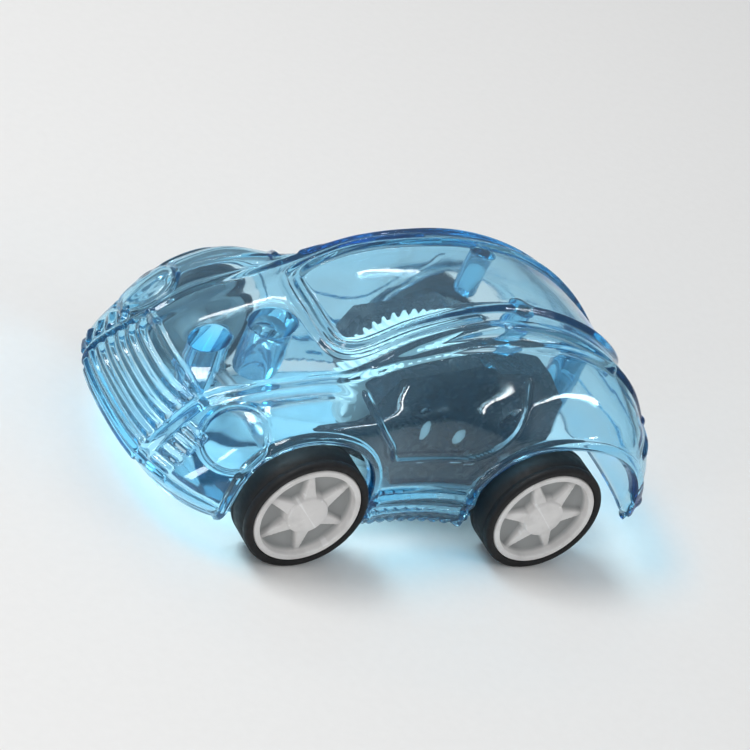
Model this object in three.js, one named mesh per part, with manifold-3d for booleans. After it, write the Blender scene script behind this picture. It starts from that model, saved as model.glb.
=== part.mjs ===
// A small pull-back toy car: a clear blue body shell and base plate, with a spring motor on the rear axle.
// Millimetres. +X is forward, +Y is the car's left, +Z is up. The origin is on the ground, midway between
// the axles, on the centre plane.

import * as THREE from "three";
import { mergeVertices } from "three/addons/utils/BufferGeometryUtils.js";
import Module from "manifold-3d";

const wasm = await Module();
wasm.setup();

// ---------------------------------------------------------------- driving dimensions
const WHEEL_RADIUS = 6.65;
const WHEELBASE = 28.7;
const WHEEL_OUTER_Y = 17.0;
const TYRE_WIDTH = 4.2;
const AXLE_RADIUS = 0.75;
const SHELL_WALL = 1.0;
const GEAR_MODULE = 0.35;
const RUNNING_GAP = 0.06;

const FRONT_X = WHEELBASE / 2;
const REAR_X = -WHEELBASE / 2;
const AXLE_Z = WHEEL_RADIUS;
const WHEEL_INNER_Y = WHEEL_OUTER_Y - TYRE_WIDTH;
const ROUND_SEGMENTS = 16;

// ---------------------------------------------------------------- materials
const material = (color, roughness, metalness, more = {}) =>
  new THREE.MeshStandardMaterial({ color, roughness, metalness, ...more });
const CLEAR_BLUE = material(0x6fc4ea, 0.08, 0, { transparent: true, opacity: 0.45 });
const BLACK_PLASTIC = material(0x121619, 0.35, 0);
const WHITE_PLASTIC = material(0xdad7d3, 0.4, 0);
const GEAR_PLASTIC = material(0xe9ece8, 0.45, 0);
const RUBBER = material(0x141416, 0.65, 0);
const STEEL = material(0xb9bcc0, 0.25, 1);
const SPRING_STEEL = material(0x59606a, 0.3, 1);

// ---------------------------------------------------------------- solids and booleans
function solid(geometry) {
  const bare = geometry.index ? geometry.toNonIndexed() : geometry.clone();
  bare.deleteAttribute("normal");
  bare.deleteAttribute("uv");
  const merged = mergeVertices(bare, 1e-4);
  return new wasm.Manifold(
    new wasm.Mesh({
      numProp: 3,
      vertProperties: merged.attributes.position.array,
      triVerts: new Uint32Array(merged.index.array),
    }),
  );
}

function geometryOf(manifold) {
  const mesh = manifold.getMesh();
  const geometry = new THREE.BufferGeometry();
  geometry.setAttribute("position", new THREE.BufferAttribute(new Float32Array(mesh.vertProperties), 3));
  geometry.setIndex(new THREE.BufferAttribute(new Uint32Array(mesh.triVerts), 1));
  return geometry;
}

// A round bar along Y from y0 to y1, centred on (x, z).
function barY(radius, y0, y1, x = 0, z = 0, segments = ROUND_SEGMENTS) {
  const geometry = new THREE.CylinderGeometry(radius, radius, y1 - y0, segments);
  return solid(geometry.translate(x, (y0 + y1) / 2, z));
}

// A round bar along Z from z0 to z1, on the centre plane at x.
function barZ(radius, z0, z1, x) {
  const geometry = new THREE.CylinderGeometry(radius, radius, z1 - z0, ROUND_SEGMENTS);
  return solid(geometry.rotateX(Math.PI / 2).translate(x, 0, (z0 + z1) / 2));
}

function block(x0, x1, y0, y1, z0, z1) {
  const geometry = new THREE.BoxGeometry(x1 - x0, y1 - y0, z1 - z0);
  return solid(geometry.translate((x0 + x1) / 2, (y0 + y1) / 2, (z0 + z1) / 2));
}

// A hole that clears a bar of the given radius by the running gap, with its flats outside that gap.
const boreRadius = (radius) => (radius + RUNNING_GAP) / Math.cos(Math.PI / ROUND_SEGMENTS);

// A prism along Y from y0 to y1 whose outline is a list of [x, z] corners.
function prismY(corners, y0, y1) {
  const outline = new THREE.Shape(corners.map(([x, z]) => new THREE.Vector2(x, z)));
  const geometry = new THREE.ExtrudeGeometry(outline, { depth: y1 - y0, bevelEnabled: false });
  return solid(geometry.rotateX(Math.PI / 2).translate(0, y1, 0));
}

// ---------------------------------------------------------------- body shell surface
// Each station is one section of the body, from the nose's lower edge over the roof to the tail's lower
// edge. Its points [x, y, z] lie on seven lines that run the length of the car's left side. The first row
// holds the centre, glass edge, roof rail and belt line, and the second the shoulder, side and lower edge.
const BODY_NET = [
  [
    [28.0, 0, 3.7], [27.8, 4.5, 3.7], [27.3, 7.6, 3.7], [26.3, 10.2, 3.7],
    [24.9, 12.1, 3.7], [23.4, 13.3, 3.7], [21.9, 13.9, 3.7],
  ],
  [
    [29.9, 0, 6.0], [29.7, 4.5, 6.0], [29.0, 7.9, 6.0], [27.7, 10.9, 6.0],
    [25.8, 13.2, 5.9], [23.6, 14.5, 5.4], [21.4, 14.7, 3.7],
  ],
  [
    [29.1, 0, 8.5], [28.9, 4.4, 8.5], [28.1, 7.9, 8.5], [26.6, 11.0, 8.6],
    [24.6, 13.5, 8.6], [22.4, 15.1, 7.4], [20.4, 15.2, 3.7],
  ],
  [
    [25.7, 0, 13.4], [25.4, 4.1, 13.3], [24.4, 7.1, 12.7], [23.3, 10.7, 12.5],
    [21.9, 13.6, 12.2], [20.2, 15.6, 9.3], [18.8, 15.5, 3.7],
  ],
  [
    [20.6, 0, 16.2], [20.5, 4.5, 16.0], [20.2, 8.0, 15.2], [19.7, 11.4, 15.7],
    [18.9, 14.5, 14.1], [18.1, 16.0, 9.8], [17.4, 15.7, 3.7],
  ],
  [
    [14.4, 0, 18.3], [14.4, 5.0, 18.1], [14.3, 8.7, 17.1], [14.2, 11.8, 17.3],
    [14.2, 14.9, 15.6], [14.2, 16.1, 10.4], [14.2, 15.7, 3.8],
  ],
  [
    [10.8, 0, 19.7], [10.5, 6.3, 19.3], [9.9, 9.2, 18.5], [9.4, 12.2, 17.3],
    [9.3, 14.6, 15.2], [9.2, 15.4, 10.0], [9.2, 15.0, 3.8],
  ],
  [
    [4.6, 0, 23.1], [4.3, 6.4, 22.7], [3.6, 8.9, 21.9], [3.3, 11.8, 17.6],
    [3.2, 13.3, 14.6], [3.2, 14.0, 9.6], [3.2, 13.8, 3.9],
  ],
  [
    [-3.0, 0, 24.9], [-3.0, 6.2, 24.5], [-3.0, 8.5, 23.6], [-3.0, 11.6, 17.8],
    [-3.0, 12.9, 14.6], [-3.0, 13.6, 9.6], [-3.0, 13.6, 3.9],
  ],
  [
    [-9.0, 0, 25.1], [-9.0, 6.0, 24.7], [-9.0, 8.4, 23.8], [-9.0, 12.0, 17.9],
    [-9.0, 14.1, 14.8], [-9.0, 14.8, 9.8], [-9.0, 14.6, 3.9],
  ],
  [
    [-15.0, 0, 24.0], [-15.0, 5.8, 23.6], [-15.2, 8.2, 22.7], [-15.3, 12.3, 18.1],
    [-15.3, 15.4, 15.4], [-15.3, 16.1, 10.2], [-15.3, 15.8, 4.2],
  ],
  [
    [-20.8, 0, 21.3], [-20.9, 5.6, 21.0], [-21.1, 8.2, 20.2], [-21.2, 12.3, 17.0],
    [-21.3, 15.1, 14.4], [-21.4, 15.9, 10.0], [-21.4, 15.5, 4.6],
  ],
  [
    [-26.0, 0, 16.9], [-26.0, 5.5, 16.7], [-26.0, 8.5, 16.2], [-25.8, 12.0, 14.6],
    [-25.6, 14.0, 12.4], [-25.4, 15.1, 9.4], [-25.2, 15.0, 5.0],
  ],
  [
    [-29.8, 0, 10.0], [-29.7, 5.3, 10.0], [-29.4, 8.7, 10.0], [-28.9, 11.5, 9.7],
    [-28.1, 13.3, 9.0], [-27.5, 14.3, 7.8], [-27.2, 14.5, 5.4],
  ],
  [
    [-29.0, 0, 4.9], [-29.0, 5.0, 4.9], [-28.8, 8.2, 4.9], [-28.5, 10.7, 4.9],
    [-28.1, 12.4, 5.0], [-27.9, 13.4, 5.1], [-27.7, 13.9, 5.2],
  ],
];
const LINES = BODY_NET[0].length;
const STATIONS = BODY_NET.length;

function catmullRom(p0, p1, p2, p3, t) {
  const slope = p2 - p0;
  const bend = 2 * p0 - 5 * p1 + 4 * p2 - p3;
  const twist = 3 * p1 - p0 - 3 * p2 + p3;
  return p1 + 0.5 * (slope * t + bend * t ** 2 + twist * t ** 3);
}

// The net's point, carried on past its ends in a straight line, and mirrored past the centre line.
function netPoint(station, line) {
  if (station < 0) return extended(netPoint(0, line), netPoint(1, line));
  if (station >= STATIONS) return extended(netPoint(STATIONS - 1, line), netPoint(STATIONS - 2, line));
  if (line >= LINES) return extended(netPoint(station, LINES - 1), netPoint(station, LINES - 2));
  const [x, y, z] = BODY_NET[station][Math.abs(line)];
  return [x, line < 0 ? -y : y, z];
}
const extended = (end, inner) => end.map((value, axis) => 2 * value - inner[axis]);

// The outer surface at station u (0 to 14) and line v (-6 to 6, negative on the car's right).
function bodyPoint(u, v) {
  const side = v < 0 ? -1 : 1;
  const across = Math.abs(v);
  const i = Math.min(Math.floor(u), STATIONS - 2);
  const j = Math.min(Math.floor(across), LINES - 2);
  const rows = [-1, 0, 1, 2].map((di) =>
    [0, 1, 2].map((axis) =>
      catmullRom(...[-1, 0, 1, 2].map((dj) => netPoint(i + di, j + dj)[axis]), across - j),
    ),
  );
  const at = [0, 1, 2].map((axis) => catmullRom(...rows.map((row) => row[axis]), u - i));
  return new THREE.Vector3(at[0], side * at[1], at[2]);
}

function bodyNormal(u, v) {
  const step = 1e-3;
  const along = bodyPoint(Math.min(u + step, STATIONS - 1), v).sub(bodyPoint(Math.max(u - step, 0), v));
  const across = bodyPoint(u, v + step).sub(bodyPoint(u, v - step));
  return across.cross(along).normalize();
}

// Height of the wheel openings' edge at a given x on the side. Away from them it is 0, below the net's edge.
const FRONT_ARCH = { x: FRONT_X, z: AXLE_Z, front: 7.9, back: 7.9, rise: 7.9 };
const REAR_ARCH = { x: REAR_X - 1.2, z: 6.0, front: 9.0, back: 11.3, rise: 8.9 };
const ARCH_END_WIDTH = 0.5;

function archHeight(arch, x) {
  const reach = x > arch.x ? arch.front : arch.back;
  const share = Math.abs(x - arch.x) / reach;
  if (share < 1) return arch.z + arch.rise * Math.sqrt(1 - share ** 2);
  const past = (share - 1) * reach;
  return past < ARCH_END_WIDTH ? arch.z * (1 - past / ARCH_END_WIDTH) : 0;
}
const edgeHeight = (x) => Math.max(archHeight(FRONT_ARCH, x), archHeight(REAR_ARCH, x));

// The line v at which station u meets the lower edge.
function edgeLine(u) {
  let low = 3;
  let high = LINES - 1;
  const below = (v) => {
    const p = bodyPoint(u, v);
    return p.z < edgeHeight(p.x);
  };
  if (!below(high)) return high;
  for (let n = 0; n < 30; n += 1) {
    const middle = (low + high) / 2;
    if (below(middle)) high = middle;
    else low = middle;
  }
  return low;
}

// Stations spread evenly by distance along the lower edge and the roof together.
function columnStations(count) {
  const samples = 1400;
  const distance = [0];
  let before = null;
  for (let n = 0; n <= samples; n += 1) {
    const u = (n / samples) * (STATIONS - 1);
    const now = [bodyPoint(u, edgeLine(u)), bodyPoint(u, 0)];
    if (before) {
      const step = now[0].distanceTo(before[0]) + now[1].distanceTo(before[1]);
      distance.push(distance[n - 1] + step);
    }
    before = now;
  }
  const total = distance[samples];
  return Array.from({ length: count }, (_, k) => {
    const target = (total * k) / (count - 1);
    const found = distance.findIndex((d) => d >= target);
    const n = Math.min(Math.max(found, 1), samples);
    const share = (target - distance[n - 1]) / (distance[n] - distance[n - 1] || 1);
    return ((n - 1 + Math.min(Math.max(share, 0), 1)) / samples) * (STATIONS - 1);
  });
}

// A closed thin sheet: the outer surface, the same moved in by the wall, and a rim that joins the two.
function shellSheet(columns, rows) {
  const stations = columnStations(columns);
  const width = 2 * rows + 1;
  const outer = [];
  const inner = [];
  for (const u of stations) {
    const edge = edgeLine(u);
    for (let k = -rows; k <= rows; k += 1) {
      const v = (edge * k) / rows;
      const p = bodyPoint(u, v);
      outer.push(p);
      inner.push(p.clone().addScaledVector(bodyNormal(u, v), -SHELL_WALL));
    }
  }
  const points = [...outer, ...inner];
  const faces = [];
  const quad = (a, b, c, d) => faces.push(a, b, c, a, c, d);
  const id = (i, k, layer) => layer * outer.length + i * width + k;
  for (let i = 0; i < columns - 1; i += 1) {
    for (let k = 0; k < width - 1; k += 1) {
      quad(id(i, k, 0), id(i, k + 1, 0), id(i + 1, k + 1, 0), id(i + 1, k, 0));
      quad(id(i, k, 1), id(i + 1, k, 1), id(i + 1, k + 1, 1), id(i, k + 1, 1));
    }
  }
  const rim = [];
  for (let k = 0; k < width - 1; k += 1) rim.push([0, k]);
  for (let i = 0; i < columns - 1; i += 1) rim.push([i, width - 1]);
  for (let k = width - 1; k > 0; k -= 1) rim.push([columns - 1, k]);
  for (let i = columns - 1; i > 0; i -= 1) rim.push([i, 0]);
  rim.forEach(([i, k], n) => {
    const [i2, k2] = rim[(n + 1) % rim.length];
    quad(id(i, k, 0), id(i, k, 1), id(i2, k2, 1), id(i2, k2, 0));
  });
  const geometry = new THREE.BufferGeometry().setFromPoints(points);
  geometry.setIndex(faces);
  return geometry;
}

// The parameter between low and high at which a falling function crosses zero.
function crossing(low, high, value) {
  for (let n = 0; n < 24; n += 1) {
    const middle = (low + high) / 2;
    if (value(middle) > 0) low = middle;
    else high = middle;
  }
  return low;
}

// Height of the outer surface's upper side above a point (x, y) of the plan.
function surfaceHeight(x, y) {
  let v = 0;
  let u = 0;
  for (let n = 0; n < 4; n += 1) {
    u = crossing(2, STATIONS - 2, (station) => bodyPoint(station, v).x - x);
    v = crossing(0, 3, (line) => Math.abs(y) - bodyPoint(u, line).y);
  }
  return bodyPoint(u, v).z;
}

// ---------------------------------------------------------------- base plate, posts and screws
const PLATE_BOTTOM = 1.7;
const PLATE_TOP = 2.6;
const PLATE_HALF_WIDTH = 10.8;
const PLATE_FRONT_X = 23.5;
const PLATE_REAR_X = -25.5;
const PLATE_CORNER = 6;
const FIT_GAP = 0.05;
const POST_X = [21.3, -22.8];
const POST_RADIUS = 1.9;
const SCREW = { radius: 0.65, length: 6.5, headRadius: 1.5, headHeight: 0.55 };
const SCREW_SLOT = { width: 0.4, depth: 0.25 };
const AXLE_TUBE = { x: FRONT_X + 0.6, radius: 2.3, bore: 1.7, bottom: AXLE_Z + 4.5 };
const MOTOR_PEG = { x: -9.5, y: 4.6, radius: 1.3, bottom: 19.1 };
const BEARING = { innerY: 8.2, outerY: 9.8, footHalf: 2.2, topHalf: 1.5, top: AXLE_Z + 2 };

// A round post that hangs from the shell at (x, y). Its top follows the shell's slope, halfway through the
// shell's wall.
function hangingPost(x, y, radius, bottom) {
  const geometry = new THREE.CylinderGeometry(radius, radius, 1, ROUND_SEGMENTS).rotateX(Math.PI / 2);
  const position = geometry.attributes.position;
  for (let i = 0; i < position.count; i += 1) {
    const px = position.getX(i) + x;
    const py = position.getY(i) + y;
    const isTop = position.getZ(i) > 0;
    position.setXYZ(i, px, py, isTop ? surfaceHeight(px, py) - SHELL_WALL / 2 : bottom);
  }
  return solid(geometry);
}

// Two posts take the base screws, a wide tube under the hood stops over the front axle, and two pegs in the
// roof stop just above the motor.
function bodyShell() {
  let shell = solid(shellSheet(36, 9));
  for (const x of POST_X) shell = shell.add(hangingPost(x, 0, POST_RADIUS, PLATE_TOP + FIT_GAP));
  shell = shell.add(hangingPost(AXLE_TUBE.x, 0, AXLE_TUBE.radius, AXLE_TUBE.bottom));
  for (const side of [-1, 1]) {
    shell = shell.add(hangingPost(MOTOR_PEG.x, side * MOTOR_PEG.y, MOTOR_PEG.radius, MOTOR_PEG.bottom));
  }
  for (const x of POST_X) {
    shell = shell.subtract(barZ(SCREW.radius + FIT_GAP, 0, PLATE_TOP + SCREW.length, x));
  }
  const tubeTop = surfaceHeight(AXLE_TUBE.x, 0) - 2 * SHELL_WALL;
  return geometryOf(shell.subtract(barZ(AXLE_TUBE.bore, 0, tubeTop, AXLE_TUBE.x)));
}

// The plate's outline from above: a long rectangle with round corners.
function plateOutline() {
  const outline = new THREE.Shape();
  const corners = [
    [PLATE_FRONT_X - PLATE_CORNER, PLATE_CORNER - PLATE_HALF_WIDTH],
    [PLATE_FRONT_X - PLATE_CORNER, PLATE_HALF_WIDTH - PLATE_CORNER],
    [PLATE_REAR_X + PLATE_CORNER, PLATE_HALF_WIDTH - PLATE_CORNER],
    [PLATE_REAR_X + PLATE_CORNER, PLATE_CORNER - PLATE_HALF_WIDTH],
  ];
  corners.forEach(([x, y], n) => {
    const from = (n - 1) * (Math.PI / 2);
    outline.absarc(x, y, PLATE_CORNER, from, from + Math.PI / 2);
  });
  return outline;
}

function basePlate() {
  const depth = PLATE_TOP - PLATE_BOTTOM;
  const slab = new THREE.ExtrudeGeometry(plateOutline(), { depth, bevelEnabled: false, curveSegments: 4 });
  let plate = solid(slab.translate(0, 0, PLATE_BOTTOM));
  for (const side of [-1, 1]) plate = plate.add(frontBearing(side));
  plate = plate.subtract(barY(boreRadius(AXLE_RADIUS), -WHEEL_INNER_Y, WHEEL_INNER_Y, FRONT_X, AXLE_Z));
  for (const x of POST_X) {
    const recessTop = PLATE_BOTTOM + SCREW.headHeight + FIT_GAP;
    plate = plate.subtract(barZ(SCREW.radius + FIT_GAP, 0, PLATE_TOP + 1, x));
    plate = plate.subtract(barZ(SCREW.headRadius + FIT_GAP, 0, recessTop, x));
  }
  return geometryOf(plate);
}

// An upright that carries one end of the front axle. Its foot runs down into the plate.
function frontBearing(side) {
  const corners = [
    [FRONT_X - BEARING.footHalf, (PLATE_BOTTOM + PLATE_TOP) / 2],
    [FRONT_X + BEARING.footHalf, (PLATE_BOTTOM + PLATE_TOP) / 2],
    [FRONT_X + BEARING.topHalf, BEARING.top],
    [FRONT_X - BEARING.topHalf, BEARING.top],
  ];
  return side > 0
    ? prismY(corners, BEARING.innerY, BEARING.outerY)
    : prismY(corners, -BEARING.outerY, -BEARING.innerY);
}

// A slotted screw, driven up through the plate. Its tip stops short of the end of the post's hole.
function baseScrew(x) {
  const headTop = PLATE_BOTTOM + SCREW.headHeight;
  const slotTop = PLATE_BOTTOM + FIT_GAP + SCREW_SLOT.depth;
  const shank = barZ(SCREW.radius, headTop - 0.2, PLATE_TOP + SCREW.length - 0.5, x);
  const head = barZ(SCREW.headRadius, PLATE_BOTTOM + FIT_GAP, headTop, x);
  const reach = SCREW.headRadius + 0.5;
  const slot = block(x - reach, x + reach, -SCREW_SLOT.width / 2, SCREW_SLOT.width / 2, 0, slotTop);
  return geometryOf(shank.add(head).subtract(slot));
}

// ---------------------------------------------------------------- wheels and axles
const WHEEL_SEGMENTS = 22;
const TYRE_THICKNESS = 0.85;
const TYRE_SHOULDER = { down: 0.3, across: 0.45 };
const HUB = {
  radius: WHEEL_RADIUS - TYRE_THICKNESS - FIT_GAP,
  rimWidth: 0.75,
  pocketDepth: 1.3,
  discDepth: 2.3,
  domeRadius: 2.4,
  domeRise: 0.1,
  bossRadius: 1.7,
  bossReach: 0.9,
};
const SPOKE = { count: 6, innerHalf: 0.85, outerHalf: 0.4, from: 1.2, faceDepth: 0.35, rootDepth: 0.2 };
const AXLE_HALF_LENGTH = WHEEL_OUTER_Y - 0.9;
const PRESS_GAP = 0.02;

// A solid turned about +Y. The profile is a list of [radius, y] corners that goes round the material from its
// low y side, over the outside, to its high y side.
function turnedY(profile) {
  return new THREE.LatheGeometry(profile.map(([r, y]) => new THREE.Vector2(r, y)), WHEEL_SEGMENTS);
}

function tyre() {
  const inner = WHEEL_RADIUS - TYRE_THICKNESS;
  const { down, across } = TYRE_SHOULDER;
  return turnedY([
    [inner, 0],
    [WHEEL_RADIUS - down, 0],
    [WHEEL_RADIUS, across],
    [WHEEL_RADIUS, TYRE_WIDTH - across],
    [WHEEL_RADIUS - down, TYRE_WIDTH],
    [inner, TYRE_WIDTH],
    [inner, 0],
  ]);
}

// The hub's outer face is at y = tyre width, and its inner boss reaches past y = 0 towards the car.
function hub() {
  const floor = TYRE_WIDTH - HUB.pocketDepth;
  const disc = TYRE_WIDTH - HUB.discDepth;
  const drumInner = HUB.radius - 0.9;
  let body = solid(
    turnedY([
      [0, -HUB.bossReach],
      [HUB.bossRadius, -HUB.bossReach],
      [HUB.bossRadius + 0.2, disc],
      [drumInner - 0.1, disc],
      [drumInner, 0],
      [HUB.radius, 0],
      [HUB.radius, TYRE_WIDTH],
      [HUB.radius - HUB.rimWidth, TYRE_WIDTH],
      [HUB.radius - HUB.rimWidth, floor],
      [HUB.domeRadius, floor],
      [HUB.domeRadius - 0.3, TYRE_WIDTH - 0.2],
      [0, TYRE_WIDTH + HUB.domeRise],
    ]),
  );
  for (let n = 0; n < SPOKE.count; n += 1) body = body.add(spoke(n, floor));
  const boreEnd = AXLE_HALF_LENGTH - WHEEL_INNER_Y + FIT_GAP;
  return geometryOf(body.subtract(barY(AXLE_RADIUS + PRESS_GAP, -TYRE_WIDTH, boreEnd)));
}

// A tapered arm from the dome to the rim, standing on the pocket's floor.
function spoke(n, floor) {
  const tip = HUB.radius - HUB.rimWidth / 2;
  const arm = new THREE.Shape([
    new THREE.Vector2(SPOKE.from, -SPOKE.innerHalf),
    new THREE.Vector2(tip, -SPOKE.outerHalf),
    new THREE.Vector2(tip, SPOKE.outerHalf),
    new THREE.Vector2(SPOKE.from, SPOKE.innerHalf),
  ]);
  const face = TYRE_WIDTH - SPOKE.faceDepth;
  const depth = face - floor + SPOKE.rootDepth;
  const bar = new THREE.ExtrudeGeometry(arm, { depth, bevelEnabled: false });
  bar.rotateX(Math.PI / 2).translate(0, face, 0);
  bar.rotateY((2 * Math.PI * n) / SPOKE.count + Math.PI / 2);
  return solid(bar);
}

function axle(x) {
  return geometryOf(barY(AXLE_RADIUS, -AXLE_HALF_LENGTH, AXLE_HALF_LENGTH, x, AXLE_Z));
}

// ---------------------------------------------------------------- gear train
// Gears lie in planes of constant y. The spring gear drives the drive gear's pinion, and the drive gear's
// wheel drives the pinion on the rear axle. The winding gear floats in slots, clear of both the spring gear
// and the axle's pinion until the car is pulled back.
const TEETH = { spring: 40, drivePinion: 12, driveWheel: 20, axle: 10, winding: 20 };
const TOOTH = { addendum: 0.95, dedendum: 1.2, rootWidth: 1.95, tipWidth: 0.75 };
const MESH_PLAY = 0.06;
const LAYER_A = [0, 1.8];
const LAYER_B = [2.1, 3.9];
const LAYER_C = [4.2, 6.0];
const PIN_RADIUS = 0.5;
const SLEEVE_RADIUS = 0.95;
const AXLE_AT = new THREE.Vector2(REAR_X, AXLE_Z);
const SPRING_AT = new THREE.Vector2(-1.5, 12.5);
const WINDING_TRAVEL = 1.6;

const pitchRadius = (teeth) => (teeth * GEAR_MODULE) / 2;
const centreDistance = (a, b) => pitchRadius(a) + pitchRadius(b) + MESH_PLAY;

// The point at distance ra from a and rb from b, above (side +1) or below (side -1) the line from a to b.
function meetingPoint(a, ra, b, rb, side) {
  const line = b.clone().sub(a);
  const span = line.length();
  const along = (ra ** 2 - rb ** 2 + span ** 2) / (2 * span);
  const off = Math.sqrt(ra ** 2 - along ** 2);
  const unit = line.divideScalar(span);
  const up = new THREE.Vector2(-unit.y, unit.x);
  return a.clone().addScaledVector(unit, along).addScaledVector(up, side * off);
}

const DRIVE_AT = meetingPoint(
  AXLE_AT,
  centreDistance(TEETH.axle, TEETH.driveWheel),
  SPRING_AT,
  centreDistance(TEETH.spring, TEETH.drivePinion),
  -1,
);
const WINDING_ENGAGED = meetingPoint(
  AXLE_AT,
  centreDistance(TEETH.axle, TEETH.winding),
  SPRING_AT,
  centreDistance(TEETH.spring, TEETH.winding),
  1,
);
const awayFrom = (point) => WINDING_ENGAGED.clone().sub(point).normalize();
const FLOAT_DIRECTION = awayFrom(AXLE_AT).add(awayFrom(SPRING_AT)).normalize();
const WINDING_AT = WINDING_ENGAGED.clone().addScaledVector(FLOAT_DIRECTION, WINDING_TRAVEL);

// The turn that puts the second gear's gap on the first gear's tooth where they mesh.
function meshedTurn(firstAt, firstTeeth, firstTurn, secondAt, secondTeeth) {
  const toward = Math.atan2(secondAt.y - firstAt.y, secondAt.x - firstAt.x);
  return toward + Math.PI - (firstTeeth / secondTeeth) * (firstTurn - toward) - Math.PI / secondTeeth;
}
const AXLE_TURN = 0;
const DRIVE_TURN = meshedTurn(AXLE_AT, TEETH.axle, AXLE_TURN, DRIVE_AT, TEETH.driveWheel);
const SPRING_TURN = meshedTurn(DRIVE_AT, TEETH.drivePinion, DRIVE_TURN, SPRING_AT, TEETH.spring);
const WINDING_TURN = 0;

// A spur gear about y through "at", with a tooth centred on the angle "turn" from +X towards +Z.
function spurGear(teeth, [y0, y1], at, turn) {
  const root = pitchRadius(teeth) - TOOTH.dedendum * GEAR_MODULE;
  const tip = pitchRadius(teeth) + TOOTH.addendum * GEAR_MODULE;
  const rootHalf = (TOOTH.rootWidth * GEAR_MODULE) / (2 * root);
  const tipHalf = (TOOTH.tipWidth * GEAR_MODULE) / (2 * tip);
  const corners = [];
  for (let n = 0; n < teeth; n += 1) {
    const middle = turn + (2 * Math.PI * n) / teeth;
    for (const [r, half] of [[root, -rootHalf], [tip, -tipHalf], [tip, tipHalf], [root, rootHalf]]) {
      corners.push([at.x + r * Math.cos(middle + half), at.y + r * Math.sin(middle + half)]);
    }
  }
  return prismY(corners, y0, y1);
}

const throughBar = (radius, at) => barY(radius, -WHEEL_INNER_Y, WHEEL_INNER_Y, at.x, at.y);

function springGear() {
  const teeth = spurGear(TEETH.spring, [LAYER_A[0], LAYER_B[1]], SPRING_AT, SPRING_TURN);
  const arborFrom = CASE.rightY + CASE.wall + 0.2;
  const arbor = barY(SPRING.arborRadius, arborFrom, LAYER_A[0] + 0.2, SPRING_AT.x, SPRING_AT.y);
  return geometryOf(teeth.add(arbor).subtract(throughBar(boreRadius(PIN_RADIUS), SPRING_AT)));
}

function driveGear() {
  const wheel = spurGear(TEETH.driveWheel, LAYER_C, DRIVE_AT, DRIVE_TURN);
  const pinion = spurGear(TEETH.drivePinion, LAYER_A, DRIVE_AT, DRIVE_TURN);
  const sleeve = barY(SLEEVE_RADIUS, LAYER_A[1] - 0.2, LAYER_C[0] + 0.2, DRIVE_AT.x, DRIVE_AT.y);
  return geometryOf(wheel.add(pinion).add(sleeve).subtract(throughBar(boreRadius(PIN_RADIUS), DRIVE_AT)));
}

function windingGear() {
  const teeth = spurGear(TEETH.winding, LAYER_B, WINDING_AT, WINDING_TURN);
  return geometryOf(teeth.subtract(throughBar(boreRadius(PIN_RADIUS), WINDING_AT)));
}

function axlePinion() {
  const teeth = spurGear(TEETH.axle, [LAYER_B[0], LAYER_C[1]], AXLE_AT, AXLE_TURN);
  return geometryOf(teeth.subtract(throughBar(AXLE_RADIUS + PRESS_GAP, AXLE_AT)));
}

function gearPin(at) {
  return geometryOf(barY(PIN_RADIUS, CASE.rightY + 0.2, CASE.leftY - 0.2, at.x, at.y));
}

// The mainspring: one flat strip wound in a spiral around the spring gear's arbor. Its coils lie closer
// together towards the outside.
const SPRING = { arborRadius: 1.3, outerRadius: 3.75, strip: 0.2, coils: 4, tightening: 0.8 };
const SPRING_POINTS_PER_COIL = 14;
function mainspring() {
  const steps = SPRING.coils * SPRING_POINTS_PER_COIL;
  const first = SPRING.arborRadius + SPRING.strip + FIT_GAP;
  const inner = [];
  const outer = [];
  for (let n = 0; n <= steps; n += 1) {
    const share = n / steps;
    const radius = first + (SPRING.outerRadius - first) * share ** SPRING.tightening;
    const angle = 2 * Math.PI * SPRING.coils * share;
    const at = (r) => [SPRING_AT.x + r * Math.cos(angle), SPRING_AT.y + r * Math.sin(angle)];
    inner.push(at(radius - SPRING.strip));
    outer.push(at(radius));
  }
  const strip = [...outer, ...inner.reverse()];
  return geometryOf(prismY(strip, CASE.rightY + CASE.wall + 0.3, LAYER_A[0] - 0.3));
}

// ---------------------------------------------------------------- motor case
const CASE = {
  leftY: 7.2,
  rightY: -4.6,
  splitY: -0.15,
  wall: 0.8,
  floor: PLATE_TOP + FIT_GAP,
};
const GEAR_WINDOW_RADIUS = pitchRadius(TEETH.spring) + 0.75;

// The case's side outline, grown outwards by "grow" from the hollow inside. The front leans forward over the
// foot, the top rises to a low peak, and the left half is fuller at the back, where the winding gear floats.
function caseOutline(side, grow) {
  const back = side > 0
    ? [[-13.9 - grow, 17.2 + grow], [-17.3 - grow, 14.3]]
    : [[-11.2 - grow, 15.7 + grow], [-16.8 - grow, 13.0]];
  return [
    [-18.3 - grow, CASE.floor + CASE.wall - grow],
    [-2.2 + grow, CASE.floor + CASE.wall - grow],
    [3.7 + grow, 12.9],
    [2.1 + grow, 15.7 + grow],
    [-2.9, 17.1 + grow],
    [-5.9, 18.0 + grow],
    [-8.4, 17.1 + grow],
    ...back,
  ];
}

// A low arm that points forward from the case's left side.
const ARM_INNER_Y = 5.5;
const ARM_OUTLINE = [[0.6, 4.9], [9.3, 8.5], [8.8, 9.2], [4.0, 10.3], [-1.0, 10.3]];

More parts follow.
